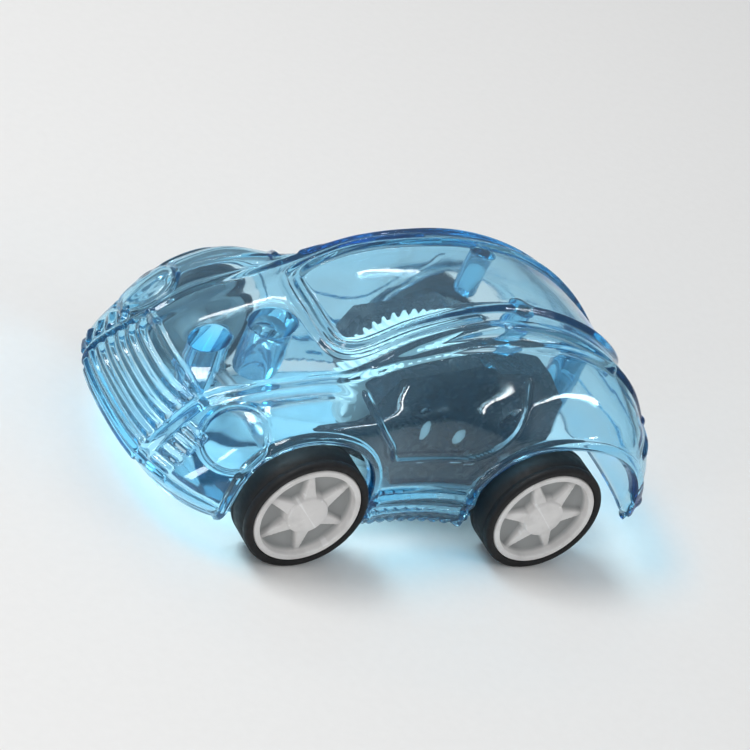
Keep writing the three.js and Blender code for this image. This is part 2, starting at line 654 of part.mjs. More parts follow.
function caseHalf(side) {
  const outerY = side > 0 ? CASE.leftY : CASE.rightY;
  const splitY = side > 0 ? CASE.splitY + FIT_GAP : CASE.splitY;
  const wallY = outerY - side * CASE.wall;
  const pastSplitY = splitY - side;
  const between = (a, b) => [Math.min(a, b), Math.max(a, b)];
  let half = prismY(caseOutline(side, CASE.wall), ...between(splitY, outerY));
  half = half.subtract(prismY(caseOutline(side, 0), ...between(pastSplitY, wallY)));
  if (side > 0) {
    const window = barY(GEAR_WINDOW_RADIUS, pastSplitY, LAYER_C[0] - 0.1, SPRING_AT.x, SPRING_AT.y, 40);
    half = half.add(prismY(ARM_OUTLINE, ARM_INNER_Y, outerY)).subtract(window);
  }
  half = half.subtract(throughBar(boreRadius(AXLE_RADIUS), AXLE_AT));
  for (const at of [SPRING_AT, DRIVE_AT]) half = half.subtract(throughBar(PIN_RADIUS + PRESS_GAP, at));
  return geometryOf(half.subtract(floatSlot()));
}

// The slot that lets the winding gear's pin travel between its free and its engaged place.
function floatSlot() {
  const radius = PIN_RADIUS + 0.15;
  const across = new THREE.Vector2(-FLOAT_DIRECTION.y, FLOAT_DIRECTION.x).multiplyScalar(radius);
  const corner = (at, sign) => [at.x + sign * across.x, at.y + sign * across.y];
  const corners = [
    corner(WINDING_ENGAGED, -1),
    corner(WINDING_AT, -1),
    corner(WINDING_AT, 1),
    corner(WINDING_ENGAGED, 1),
  ];
  const middle = prismY(corners, -WHEEL_INNER_Y, WHEEL_INNER_Y);
  const endRadius = boreRadius(radius - RUNNING_GAP);
  return middle.add(throughBar(endRadius, WINDING_ENGAGED)).add(throughBar(endRadius, WINDING_AT));
}

// ---------------------------------------------------------------- assembly
const car = new THREE.Group();

function place(parent, name, geometry, look) {
  const mesh = new THREE.Mesh(geometry, look);
  mesh.name = name;
  parent.add(mesh);
}

place(car, "body_shell", bodyShell(), CLEAR_BLUE);
place(car, "base_plate", basePlate(), CLEAR_BLUE);
place(car, "front_base_screw", baseScrew(POST_X[0]), STEEL);
place(car, "rear_base_screw", baseScrew(POST_X[1]), STEEL);

for (const [end, x] of [["front", FRONT_X], ["rear", REAR_X]]) {
  place(car, `${end}_axle`, axle(x), STEEL);
  for (const [side, turn] of [["left", 0], ["right", Math.PI]]) {
    const corner = new THREE.Group();
    corner.position.set(x, side === "left" ? WHEEL_INNER_Y : -WHEEL_INNER_Y, AXLE_Z);
    corner.rotation.z = turn;
    car.add(corner);
    place(corner, `wheel_hub_${end}_${side}`, hub(), WHITE_PLASTIC);
    place(corner, `tyre_${end}_${side}`, tyre(), RUBBER);
  }
}

place(car, "motor_case_left", caseHalf(1), BLACK_PLASTIC);
place(car, "motor_case_right", caseHalf(-1), BLACK_PLASTIC);
place(car, "mainspring", mainspring(), SPRING_STEEL);
place(car, "spring_gear", springGear(), GEAR_PLASTIC);
place(car, "spring_gear_pin", gearPin(SPRING_AT), STEEL);
place(car, "drive_gear", driveGear(), GEAR_PLASTIC);
place(car, "drive_gear_pin", gearPin(DRIVE_AT), STEEL);
place(car, "winding_gear", windingGear(), GEAR_PLASTIC);
place(car, "winding_gear_pin", gearPin(WINDING_AT), STEEL);
place(car, "axle_pinion", axlePinion(), GEAR_PLASTIC);

export default car;
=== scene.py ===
"""Looks for the pull back car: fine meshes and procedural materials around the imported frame.

Lengths in this script are millimetres in the frame's axes (+X forward, +Y left, +Z up). They are turned into
metres when a mesh is made.
"""

import math

import bpy
import numpy as np
from mathutils import Matrix, Vector


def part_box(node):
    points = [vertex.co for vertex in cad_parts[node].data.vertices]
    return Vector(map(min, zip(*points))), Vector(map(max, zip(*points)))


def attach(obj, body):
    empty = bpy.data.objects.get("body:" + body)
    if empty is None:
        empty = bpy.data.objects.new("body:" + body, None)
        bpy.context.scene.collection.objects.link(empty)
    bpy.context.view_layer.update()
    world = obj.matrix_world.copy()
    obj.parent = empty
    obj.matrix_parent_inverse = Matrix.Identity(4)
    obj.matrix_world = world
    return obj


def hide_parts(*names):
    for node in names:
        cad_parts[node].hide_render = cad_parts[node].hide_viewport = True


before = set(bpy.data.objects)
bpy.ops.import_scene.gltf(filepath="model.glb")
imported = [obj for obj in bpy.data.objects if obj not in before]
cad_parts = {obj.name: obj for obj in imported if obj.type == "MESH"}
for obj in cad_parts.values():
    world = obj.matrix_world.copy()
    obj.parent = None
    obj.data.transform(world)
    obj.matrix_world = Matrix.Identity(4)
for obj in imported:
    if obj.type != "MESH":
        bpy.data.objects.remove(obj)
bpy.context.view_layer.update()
MM = 0.001


# ------------------------------------------------------------------ sizes read from the frame
def box_mm(node):
    """The low and high corners of a CAD node's box."""
    low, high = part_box(node)
    return np.array(low) / MM, np.array(high) / MM


def centre_mm(node):
    low, high = box_mm(node)
    return (low + high) / 2


TYRE_LOW, TYRE_HIGH = box_mm("tyre_front_left")
WHEEL_RADIUS = (TYRE_HIGH[2] - TYRE_LOW[2]) / 2
TYRE_WIDTH = TYRE_HIGH[1] - TYRE_LOW[1]
WHEEL_INNER_Y = TYRE_LOW[1]
FRONT_X = centre_mm("front_axle")[0]
REAR_X = centre_mm("rear_axle")[0]
AXLE_X = {"front": FRONT_X, "rear": REAR_X}
AXLE_Z = WHEEL_RADIUS
AXLE_RADIUS = (box_mm("front_axle")[1][2] - box_mm("front_axle")[0][2]) / 2
AXLE_HALF_LENGTH = box_mm("front_axle")[1][1]
SHELL_WALL = 1.0


# ------------------------------------------------------------------ mesh helpers
def mesh_object(name, points, faces, smooth=True):
    """An object whose mesh has these points, in millimetres, and these faces."""
    mesh = bpy.data.meshes.new(name)
    mesh.from_pydata((np.asarray(points, float) * MM).tolist(), [], [list(map(int, f)) for f in faces])
    mesh.validate()
    if smooth:
        mesh.polygons.foreach_set("use_smooth", [True] * len(mesh.polygons))
    mesh.update()
    obj = bpy.data.objects.new(name, mesh)
    bpy.context.scene.collection.objects.link(obj)
    return obj


def grid_faces(rows, columns, start=0, wrap=False, flip=False):
    """Quads of a grid of points stored row by row. wrap joins the last column to the first."""
    last = columns if wrap else columns - 1
    r, c = np.meshgrid(np.arange(rows - 1), np.arange(last), indexing="ij")
    a = start + r * columns + c
    b = start + r * columns + (c + 1) % columns
    d = start + (r + 1) * columns + c
    e = start + (r + 1) * columns + (c + 1) % columns
    order = (a, d, e, b) if flip else (a, b, e, d)
    return np.stack([x.ravel() for x in order], axis=1)


def ring_body(rings):
    """Points and faces of a closed body made of stacked rings, each an array of points, with flat ends."""
    segments = len(rings[0])
    faces = [list(f) for f in grid_faces(len(rings), segments, wrap=True)]
    last = (len(rings) - 1) * segments
    faces.append(list(range(segments - 1, -1, -1)))
    faces.append(list(range(last, last + segments)))
    return np.concatenate(rings), faces


def circle(segments):
    """Angles evenly spread round a circle."""
    return np.linspace(0, 2 * np.pi, segments, endpoint=False)


def finish_piece(obj, body, slot, material, *nodes):
    """Gives a piece its material, and puts it on its body in place of CAD nodes."""
    obj.data.materials.clear()
    obj.data.materials.append(material)
    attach(obj, body)
    if nodes:
        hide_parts(*nodes)
    return obj


def smoothstep(low, high, x):
    """A smooth rise from 0 at low to 1 at high, or a fall where low is the greater."""
    t = np.clip((np.asarray(x, float) - low) / (high - low), 0, 1)
    return t * t * (3 - 2 * t)


def bump(distance, half_width):
    """A smooth rise from 0 at half_width to 1 at no distance."""
    t = np.clip(1 - (distance / half_width) ** 2, 0, 1)
    return t * t


# ------------------------------------------------------------------ body surface
# Each row is one station, from the nose's lower edge over the roof to the tail's lower edge. Each entry is a
# point on one of seven lines that run the length of the car's left side: centre, glass edge, roof rail, belt
# line, shoulder, side and lower edge.
BODY_NET = [
    [(28.0, 0, 3.7), (27.8, 4.5, 3.7), (27.3, 7.6, 3.7), (26.3, 10.2, 3.7),
     (24.9, 12.1, 3.7), (23.4, 13.3, 3.7), (21.9, 13.9, 3.7)],
    [(29.9, 0, 6.0), (29.7, 4.5, 6.0), (29.0, 7.9, 6.0), (27.7, 10.9, 6.0),
     (25.8, 13.2, 5.9), (23.6, 14.5, 5.4), (21.4, 14.7, 3.7)],
    [(29.1, 0, 8.5), (28.9, 4.4, 8.5), (28.1, 7.9, 8.5), (26.6, 11.0, 8.6),
     (24.6, 13.5, 8.6), (22.4, 15.1, 7.4), (20.4, 15.2, 3.7)],
    [(25.7, 0, 13.4), (25.4, 4.1, 13.3), (24.4, 7.1, 12.7), (23.3, 10.7, 12.5),
     (21.9, 13.6, 12.2), (20.2, 15.6, 9.3), (18.8, 15.5, 3.7)],
    [(20.6, 0, 16.2), (20.5, 4.5, 16.0), (20.2, 8.0, 15.2), (19.7, 11.4, 15.7),
     (18.9, 14.5, 14.1), (18.1, 16.0, 9.8), (17.4, 15.7, 3.7)],
    [(14.4, 0, 18.3), (14.4, 5.0, 18.1), (14.3, 8.7, 17.1), (14.2, 11.8, 17.3),
     (14.2, 14.9, 15.6), (14.2, 16.1, 10.4), (14.2, 15.7, 3.8)],
    [(10.8, 0, 19.7), (10.5, 6.3, 19.3), (9.9, 9.2, 18.5), (9.4, 12.2, 17.3),
     (9.3, 14.6, 15.2), (9.2, 15.4, 10.0), (9.2, 15.0, 3.8)],
    [(4.6, 0, 23.1), (4.3, 6.4, 22.7), (3.6, 8.9, 21.9), (3.3, 11.8, 17.6),
     (3.2, 13.3, 14.6), (3.2, 14.0, 9.6), (3.2, 13.8, 3.9)],
    [(-3.0, 0, 24.9), (-3.0, 6.2, 24.5), (-3.0, 8.5, 23.6), (-3.0, 11.6, 17.8),
     (-3.0, 12.9, 14.6), (-3.0, 13.6, 9.6), (-3.0, 13.6, 3.9)],
    [(-9.0, 0, 25.1), (-9.0, 6.0, 24.7), (-9.0, 8.4, 23.8), (-9.0, 12.0, 17.9),
     (-9.0, 14.1, 14.8), (-9.0, 14.8, 9.8), (-9.0, 14.6, 3.9)],
    [(-15.0, 0, 24.0), (-15.0, 5.8, 23.6), (-15.2, 8.2, 22.7), (-15.3, 12.3, 18.1),
     (-15.3, 15.4, 15.4), (-15.3, 16.1, 10.2), (-15.3, 15.8, 4.2)],
    [(-20.8, 0, 21.3), (-20.9, 5.6, 21.0), (-21.1, 8.2, 20.2), (-21.2, 12.3, 17.0),
     (-21.3, 15.1, 14.4), (-21.4, 15.9, 10.0), (-21.4, 15.5, 4.6)],
    [(-26.0, 0, 16.9), (-26.0, 5.5, 16.7), (-26.0, 8.5, 16.2), (-25.8, 12.0, 14.6),
     (-25.6, 14.0, 12.4), (-25.4, 15.1, 9.4), (-25.2, 15.0, 5.0)],
    [(-29.8, 0, 10.0), (-29.7, 5.3, 10.0), (-29.4, 8.7, 10.0), (-28.9, 11.5, 9.7),
     (-28.1, 13.3, 9.0), (-27.5, 14.3, 7.8), (-27.2, 14.5, 5.4)],
    [(-29.0, 0, 4.9), (-29.0, 5.0, 4.9), (-28.8, 8.2, 4.9), (-28.5, 10.7, 4.9),
     (-28.1, 12.4, 5.0), (-27.9, 13.4, 5.1), (-27.7, 13.9, 5.2)],
]
STATIONS = len(BODY_NET)
LINES = len(BODY_NET[0])


def padded_net():
    """The net with its mirrored right side, and one more row and column past each end, in a straight line."""
    left = np.array(BODY_NET, float)
    right = left[:, :0:-1] * np.array([1, -1, 1])
    net = np.concatenate([right, left], axis=1)
    net = np.concatenate([2 * net[:1] - net[1:2], net, 2 * net[-1:] - net[-2:-1]], axis=0)
    return np.concatenate([2 * net[:, :1] - net[:, 1:2], net, 2 * net[:, -1:] - net[:, -2:-1]], axis=1)


NET = padded_net()


def spline_weights(t):
    """Weights of four neighbouring points in a smooth curve, at a share t from the second to the third."""
    return np.stack([
        -0.5 * t + t**2 - 0.5 * t**3,
        1 - 2.5 * t**2 + 1.5 * t**3,
        0.5 * t + 2 * t**2 - 1.5 * t**3,
        -0.5 * t**2 + 0.5 * t**3,
    ])


def surface(u, v):
    """Points of the smooth outer surface at station u (0 to 14) and line v (-6 to 6, right to left)."""
    u, v = np.broadcast_arrays(np.asarray(u, float), np.asarray(v, float))
    i = np.clip(np.floor(u).astype(int), 0, STATIONS - 2)
    j = np.clip(np.floor(v).astype(int), 1 - LINES, LINES - 2)
    wu, wv = spline_weights(u - i), spline_weights(v - j)
    total = np.zeros(u.shape + (3,))
    for a in range(4):
        for b in range(4):
            total += (wu[a] * wv[b])[..., None] * NET[i + a, j + b + LINES - 1]
    return total


def surface_normal(u, v):
    """Directions that point straight out of the surface at station u and line v."""
    step = 1e-3
    along = surface(np.minimum(u + step, STATIONS - 1), v) - surface(np.maximum(u - step, 0), v)
    across = surface(u, v + step) - surface(u, v - step)
    normal = np.cross(across, along)
    return normal / np.linalg.norm(normal, axis=-1, keepdims=True)


# Wheel openings, as half ellipses on short, nearly upright sides.
ARCHES = [
    {"x": FRONT_X, "z": AXLE_Z, "front": 7.9, "back": 7.9, "rise": 7.9},
    {"x": REAR_X - 1.2, "z": 6.0, "front": 9.0, "back": 11.3, "rise": 8.9},
]
ARCH_END_WIDTH = 0.35


def arch_height(arch, x):
    """Height of a wheel opening's edge at x, or 0 away from the opening."""
    reach = np.where(x > arch["x"], arch["front"], arch["back"])
    share = np.abs(x - arch["x"]) / reach
    inside = arch["z"] + arch["rise"] * np.sqrt(np.clip(1 - share**2, 0, 1))
    outside = arch["z"] * np.clip(1 - (share - 1) * reach / ARCH_END_WIDTH, 0, 1)
    return np.where(share < 1, inside, outside)


HIGHEST_OPENING_LINE = 3.0
BISECTIONS = 30


def edge_line(u):
    """The line v at which each station u meets the shell's lower edge or a wheel opening."""
    low = np.full(u.shape, HIGHEST_OPENING_LINE)
    high = np.full(u.shape, LINES - 1.0)

    def below(v):
        p = surface(u, v)
        return p[..., 2] < np.maximum(arch_height(ARCHES[0], p[..., 0]), arch_height(ARCHES[1], p[..., 0]))

    cut = below(high)
    for _ in range(BISECTIONS):
        middle = (low + high) / 2
        under = below(middle)
        high = np.where(under, middle, high)
        low = np.where(under, low, middle)
    return np.where(cut, low, LINES - 1.0)


# ------------------------------------------------------------------ body detail
# Detail is raised from the smooth surface along its normal.
def smooth_curve(corners, count):
    """Evenly spread points of a smooth curve through the corners."""
    corners = np.array(corners, float)
    padded = np.concatenate([2 * corners[:1] - corners[1:2], corners, 2 * corners[-1:] - corners[-2:-1]])
    t = np.linspace(0, len(corners) - 1 - 1e-9, count)
    i = np.floor(t).astype(int)
    weights = spline_weights(t - i)
    return sum(weights[k][:, None] * padded[i + k] for k in range(4))


NEAREST_BATCH = 4000


def nearest_distance(points, path):
    """Distance from each point to the nearest of the path's points."""
    best = np.full(len(points), np.inf)
    for start in range(0, len(points), NEAREST_BATCH):
        part = points[start:start + NEAREST_BATCH]
        best[start:start + NEAREST_BATCH] = np.sqrt(((part[:, None] - path[None]) ** 2).sum(-1).min(1))
    return best


def on_left(points):
    """The points with those of the right side mirrored to the left."""
    return np.stack([points[:, 0], np.abs(points[:, 1]), points[:, 2]], axis=1)


# Each path is a list of (station, line) points on the left side of the body.
CANOPY_PATH = [(5.93, -0.02), (5.93, 0.45), (6.0, 0.8), (6.35, 1.0), (7, 0.98), (8, 0.88), (9, 0.85),
               (10, 0.88), (11, 0.84), (11.8, 0.66), (12.2, 0.35), (12.3, -0.02)]
CANOPY_OUTER_PATH = [(5.6, -0.02), (5.6, 0.5), (5.72, 0.95), (6.05, 1.22), (6.6, 1.3), (7.2, 1.28), (8, 1.2)]
RIDGE_PATH = [(0.9, 1.9), (2, 1.95), (3, 2), (4, 2), (5, 2), (6, 2), (7, 1.95), (8, 1.85), (9, 1.82),
              (10, 1.85), (11, 1.95), (12, 2.0), (12.8, 2.1)]
RIDGE_LOWER_PATH = [(6.3, 2.12), (7, 2.2), (8, 2.22), (9, 2.22), (10, 2.18), (11, 2.12)]
GRILLE_TOP_PATH = [(3.05, -0.02), (3.05, 1.0), (3.0, 1.9)]
REAR_LIP_PATH = [(12.45, -0.02), (12.45, 1.5), (12.4, 2.6), (12.2, 3.6)]
REAR_BUMPER_PATH = [(13.25, -0.02), (13.25, 2), (13.3, 4), (13.3, 5)]
# The beads that follow these paths: (path, height, half width).
BEADS = [
    (CANOPY_PATH, 0.5, 0.72),
    (CANOPY_OUTER_PATH, 0.28, 0.6),
    (RIDGE_PATH, 0.36, 0.85),
    (RIDGE_LOWER_PATH, 0.30, 0.6),
    (GRILLE_TOP_PATH, 0.30, 0.6),
    (REAR_LIP_PATH, 0.30, 0.8),
    (REAR_BUMPER_PATH, 0.30, 0.9),
]
# The door's seam, in side view: (x, z). It starts below the ridge.
DOOR_OUTLINE = [(9.6, 17.6), (7.9, 15.4), (6.0, 13.4), (5.2, 11.9), (3.6, 11.5), (-3.2, 11.4), (-5.8, 12.4),
                (-7.9, 14.6), (-9.3, 17.2), (-9.5, 19.6)]
SEAM_HEIGHT = 0.26
SEAM_HALF_WIDTH = 0.36
SEAM_TOP_LINE = 2.05
PATH_POINTS = 400
SEAM_POINTS = 500


def raised_detail(points, u, v):
    """How far the detail stands out from the smooth surface at each point, in millimetres."""
    x, _, z = points.T
    side = np.abs(v)
    left = on_left(points)
    height = np.zeros(len(points))
    for path, bead_height, half_width in BEADS:
        path_points = surface(*smooth_curve(path, PATH_POINTS).T)
        height += bead_height * bump(nearest_distance(left, path_points), half_width)
    height += grille_slats(u, side, z)
    height += side_louvres(u, side, z)
    height += headlight(left)
    height += sill_beads(x, side, z)
    height += door_seam(x, side, z)
    return height


def door_seam(x, side, z):
    """The fine raised line round the door."""
    distance = nearest_distance(np.stack([x, z], axis=1), smooth_curve(DOOR_OUTLINE, SEAM_POINTS))
    below_ridge = smoothstep(SEAM_TOP_LINE, SEAM_TOP_LINE + 0.25, side)
    return SEAM_HEIGHT * bump(distance, SEAM_HALF_WIDTH) * below_ridge


# The slats on the nose. A low and a high z, and lines of the net, bound each set.
NOSE_STATIONS = (3.2, 4.0)
GRILLE = {"pitch": 0.98, "height": 0.42, "low_z": 4.9, "high_z": 12.7, "last_line": 1.72}
LOUVRES = {"pitch": 1.15, "height": 0.36, "low_z": 5.4, "high_z": 11.2, "first_line": 2.26, "last_line": 2.97}


def waves(height, slats):
    """Rounded slats, one over another, as a wave from 0 to 1."""
    return 0.5 - 0.5 * np.cos(2 * np.pi * (height - slats["low_z"]) / slats["pitch"])


def on_nose(u):
    """1 on the nose, falling to 0 where the bonnet begins."""
    return smoothstep(NOSE_STATIONS[1], NOSE_STATIONS[0], u)


def grille_slats(u, side, z):
    """Slats that run across the nose between the ridges."""
    low, high, last = GRILLE["low_z"], GRILLE["high_z"], GRILLE["last_line"]
    inside = smoothstep(last + 0.06, last - 0.06, side) * smoothstep(low - 0.1, low + 0.2, z)
    inside *= smoothstep(high + 0.2, high - 0.1, z) * on_nose(u)
    return GRILLE["height"] * waves(z, GRILLE) * inside


def side_louvres(u, side, z):
    """Short slats beside the grille, below the headlight."""
    low, high = LOUVRES["low_z"], LOUVRES["high_z"]
    first, last = LOUVRES["first_line"], LOUVRES["last_line"]
    inside = smoothstep(first - 0.06, first + 0.06, side) * smoothstep(last + 0.08, last - 0.07, side)
    inside *= smoothstep(low - 0.1, low + 0.2, z) * smoothstep(high + 0.1, high - 0.2, z) * on_nose(u)
    return LOUVRES["height"] * waves(z, LOUVRES) * inside


# The headlight's centre is a (station, line) point.
HEADLIGHT = {"at": (2.95, 3.42), "radius": 3.2, "rise": 0.45, "ring_depth": 0.2, "ring_width": 0.3}


def headlight(left):
    """A round lens that bulges from the front of the wing, with a shallow ring round it."""
    distance = np.linalg.norm(left - surface(*HEADLIGHT["at"]), axis=1)
    dome = np.sqrt(np.clip(1 - (distance / HEADLIGHT["radius"]) ** 2, 0, 1))
    ring = bump(distance - HEADLIGHT["radius"] - HEADLIGHT["ring_width"], HEADLIGHT["ring_width"] + 0.1)
    return HEADLIGHT["rise"] * dome - HEADLIGHT["ring_depth"] * ring


# The sill's ends along x, and the line of the net where it begins.
SILL_X = (-7.5, 6.6)
SILL_FIRST_LINE = 3.5
SILL_BOARD = {"top": 8.4, "height": 0.35}
SILL_BEAD = {"height": 0.45, "half_width": 0.62, "z": (6.9, 5.2)}


def along_sill(x, inset, fade):
    """1 between the wheels and 0 past the sill's ends, which are moved inwards by an inset."""
    rear, front = SILL_X[0] + inset, SILL_X[1] - inset
    return smoothstep(rear, rear + fade, x) * smoothstep(front, front - fade, x)


def sill_beads(x, side, z):
    """Two beads along the sill between the wheels, on a slightly raised running board."""
    along = along_sill(x, 0, 0.8) * smoothstep(SILL_FIRST_LINE, SILL_FIRST_LINE + 0.7, side)
    board = SILL_BOARD["height"] * smoothstep(SILL_BOARD["top"], SILL_BOARD["top"] - 0.8, z)
    beads = sum(SILL_BEAD["height"] * bump(z - bead_z, SILL_BEAD["half_width"]) for bead_z in SILL_BEAD["z"])
    return along * (board + beads)


SERRATION_PITCH = 1.3
SERRATION_DEPTH = 0.32


def serrated(points, v_share):
    """Lowers the sill's bottom edge in small scallops."""
    x = points[:, 0]
    wave = np.abs(np.sin(np.pi * x / SERRATION_PITCH))
    near_edge = smoothstep(0.93, 1.0, np.abs(v_share))
    points[:, 2] -= SERRATION_DEPTH * wave * along_sill(x, 0.6, 0.8) * near_edge
    return points


GRILLE_STATIONS = (0.4, 3.6)
GRILLE_DENSITY = 1.9
SPREAD_SAMPLES = 3000


def spread_stations(count):
    """Stations evenly spread by distance along the surface, closer together over the grille."""
    u = np.linspace(0, STATIONS - 1, SPREAD_SAMPLES)
    steps = np.linalg.norm(np.diff(surface(u, edge_line(u)), axis=0), axis=1)
    steps += np.linalg.norm(np.diff(surface(u, 0 * u), axis=0), axis=1)
    middle = (u[1:] + u[:-1]) / 2
    in_grille = (middle > GRILLE_STATIONS[0]) & (middle < GRILLE_STATIONS[1])
    steps *= np.where(in_grille, GRILLE_DENSITY, 1.0)
    total = np.concatenate([[0], np.cumsum(steps)])
    return np.interp(np.linspace(0, total[-1], count), total, u)


COLUMNS = 400
HALF_ROWS = 130


def build_shell():
    """The clear body: a detailed outer face, an inner face that repeats only the headlights, and a rim."""
    stations = spread_stations(COLUMNS)
    share = np.linspace(-1, 1, 2 * HALF_ROWS + 1)
    u = np.repeat(stations, len(share))
    v = (edge_line(stations)[:, None] * share[None]).ravel()
    shares = np.tile(share, COLUMNS)
    base = surface(u, v)
    normal = surface_normal(u, v)
    outer = base + normal * (raised_detail(base, u, v) + arch_lip(base, shares))[:, None]
    inner = base + normal * (headlight(on_left(base)) - SHELL_WALL)[:, None]
    width = len(share)
    count = len(base)
    faces = [grid_faces(COLUMNS, width), grid_faces(COLUMNS, width, start=count, flip=True)]
    faces.append(rim_faces(COLUMNS, width, count))
    return np.concatenate([serrated(outer, shares), serrated(inner, shares)]), np.concatenate(faces)


def rim_faces(rows, columns, offset):
    """Quads that join the outline of one grid to the outline of the next, which starts at the offset."""
    last_row, last_column = rows - 1, columns - 1
    outline = [(0, k) for k in range(last_column)]
    outline += [(i, last_column) for i in range(last_row)]
    outline += [(last_row, k) for k in range(last_column, 0, -1)]
    outline += [(i, 0) for i in range(last_row, 0, -1)]
    ids = np.array([i * columns + k for i, k in outline])
    after = np.roll(ids, -1)
    return np.stack([ids, ids + offset, after + offset, after], axis=1)


LIP_HEIGHT = 0.3
LIP_WIDTH = 1.0


def arch_lip(points, shares):
    """A raised lip round each wheel opening, highest at the opening's edge."""
    lip = np.zeros(len(points))
    for arch in ARCHES:
        reach = np.where(points[:, 0] > arch["x"], arch["front"], arch["back"])
        across = (points[:, 0] - arch["x"]) / reach
        up = (points[:, 2] - arch["z"]) / arch["rise"]
        distance = (np.hypot(across, up) - 1) * arch["rise"]
        near = smoothstep(-0.5, 0, distance) * smoothstep(LIP_WIDTH, LIP_WIDTH - 0.3, distance)
        on_the_arch = (points[:, 2] > arch["z"] - 3) & (np.abs(shares) > 0.6)
        lip = np.maximum(lip, near * on_the_arch)
    return LIP_HEIGHT * lip


# Where the search for a point of the roof starts, and how far it may go, in stations and lines.
SEARCH_START = (6.0, 0.5)
SEARCH_STATIONS = (1.5, 12.9)
SEARCH_LINES = (-3, 3)


def surface_height(x, y):
    """Height of the smooth outer surface above a point of the plan, found by Newton's method."""
    u, v = SEARCH_START
    nudge, longest_step = 1e-3, 0.5
    for _ in range(25):
        here = surface(u, v)
        du = (surface(u + nudge, v) - here) / nudge
        dv = (surface(u, v + nudge) - here) / nudge
        slopes = np.array([[du[0], dv[0]], [du[1], dv[1]]])
        step = np.linalg.solve(slopes, np.array([x - here[0], y - here[1]]))
        step = np.clip(step, -longest_step, longest_step)
        u = float(np.clip(u + step[0], *SEARCH_STATIONS))
        v = float(np.clip(v + step[1], *SEARCH_LINES))
    return surface(u, v)[2]


TUBE_SEGMENTS = 40
TUBE_ROUND_OFF = 0.18
TUBE_FILLET = 0.3


def hanging_tube(x, y, radius, bore, bottom, bore_top):
    """A tube that hangs from the shell at (x, y), as a closed body whose top lies inside the shell's wall."""
    angle = circle(TUBE_SEGMENTS)
    across, along = np.cos(angle), np.sin(angle)
    roof = np.array([surface_height(x + radius * a, y + radius * b) for a, b in zip(across, along)])
    profile = [
        (bore, bore_top),
        (bore, bottom + TUBE_ROUND_OFF),
        (bore + TUBE_ROUND_OFF, bottom),
        (radius - TUBE_ROUND_OFF, bottom),
        (radius, bottom + TUBE_ROUND_OFF),
        (radius, roof - SHELL_WALL - TUBE_FILLET - 0.05),
        (radius + TUBE_FILLET, roof - SHELL_WALL / 2),
    ]
    return ring_body([np.stack([x + r * across, y + r * along, z + 0 * angle], axis=1) for r, z in profile])


def applied(obj):
    """Turns an object's modifiers into its mesh."""
    bpy.context.view_layer.update()
    mesh = bpy.data.meshes.new_from_object(obj.evaluated_get(bpy.context.evaluated_depsgraph_get()))
    obj.modifiers.clear()
    obj.data = mesh


def combine(target, tool, operation):
    """Joins the tool's solid to the target's (UNION) or cuts it away (DIFFERENCE), and removes the tool."""
    change = target.modifiers.new("combine", "BOOLEAN")
    change.operation = operation
    change.solver = "MANIFOLD"
    change.object = tool
    applied(target)
    bpy.data.objects.remove(tool)


BASE_SCREWS = ("front_base_screw", "rear_base_screw")
SCREW_CLEARANCE = 0.6
PLATE_THICKNESS = 1.0
POST = {"radius": 1.9, "bore": 0.7}
AXLE_TUBE = {"x": FRONT_X + 0.6, "radius": 2.3, "bore": 1.7, "bottom": AXLE_Z + 4.5}
MOTOR_TOP = box_mm("motor_case_left")[1][2]
MOTOR_PEG = {"x": -9.5, "radius": 1.3, "bore": 0.4, "bottom": MOTOR_TOP + 0.3, "bore_top": MOTOR_TOP + 0.9}
MOTOR_PEG_Y = 4.6


def hanging_tubes():
    """The two screw posts, the tube over the front axle and the two pegs over the motor."""
    plate_top = box_mm("base_plate")[0][2] + PLATE_THICKNESS
    tubes = []
    for screw in BASE_SCREWS:
        bore_top = box_mm(screw)[1][2] + SCREW_CLEARANCE
        tubes.append(hanging_tube(centre_mm(screw)[0], 0, bottom=plate_top, bore_top=bore_top, **POST))
    bore_top = surface_height(AXLE_TUBE["x"], 0) - 2 * SHELL_WALL
    tubes.append(hanging_tube(y=0, bore_top=bore_top, **AXLE_TUBE))
    for y in (-MOTOR_PEG_Y, MOTOR_PEG_Y):
        tubes.append(hanging_tube(y=y, **MOTOR_PEG))
    return tubes


# ------------------------------------------------------------------ turned pieces
def rings_about_y(profile, segments):
    """Rings about the Y axis, from high y to low y. A radius or a y may be an array over the ring's angle."""
    angle = circle(segments)
    return [np.stack([r * np.cos(angle), y + 0 * angle, r * np.sin(angle)], axis=1) for r, y in profile]


def turned(name, profile, segments, centre):
    """A solid piece turned about a line along Y, from a profile of (radius, y) with y falling."""
    points, faces = ring_body(rings_about_y(profile, segments))
    return mesh_object(name, points + np.array(centre), faces)


ROD_CHAMFER = 0.12
AXLE_SEGMENTS = 48
PIN_SEGMENTS = 40


def rod_profile(radius, high, low):
    """A round rod with a small chamfer at each end."""
    tip = radius - ROD_CHAMFER
    return [(tip, high), (radius, high - ROD_CHAMFER), (radius, low + ROD_CHAMFER), (tip, low)]


def axle_rod(name, x):
    """A steel axle across the car, at one end of its wheelbase."""
    profile = rod_profile(AXLE_RADIUS, AXLE_HALF_LENGTH, -AXLE_HALF_LENGTH)
    return turned(name, profile, AXLE_SEGMENTS, (x, 0, AXLE_Z))


def pin_rod(node):
    """A gear's steel pin, with a small chamfer at each end."""
    low, high = box_mm(node)
    profile = rod_profile((high[0] - low[0]) / 2, high[1], low[1])
    centre = ((low[0] + high[0]) / 2, 0, (low[2] + high[2]) / 2)
    return turned(f"{node}_rod", profile, PIN_SEGMENTS, centre)


